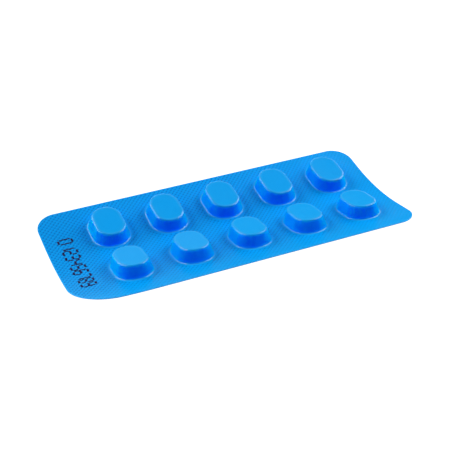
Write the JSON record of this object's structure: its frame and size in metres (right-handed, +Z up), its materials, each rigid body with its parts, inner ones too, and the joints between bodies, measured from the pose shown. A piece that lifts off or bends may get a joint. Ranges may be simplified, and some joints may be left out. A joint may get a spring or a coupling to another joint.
{
  "type": "pill blister pack",
  "caption": "Sealed blister card of opaque blue film, curled to a shallow trough, with rows of drafted oblong tablet pockets and a foil back.",
  "frame": {"origin": "on the surface the pack lies on, under the middle of its box", "axes": "+X along the card from the wide end margin to the narrow one, +Y across the card from the near row to the far row, +Z up out of the pockets"},
  "size_m": [0.1042, 0.0462, 0.0059],
  "materials": {
    "blue_film": "satin blue forming film with a fine diamond seal pattern"
  },
  "bodies": {
    "root": {"blister_pack": "blue_film"}
  },
  "joints": []
}
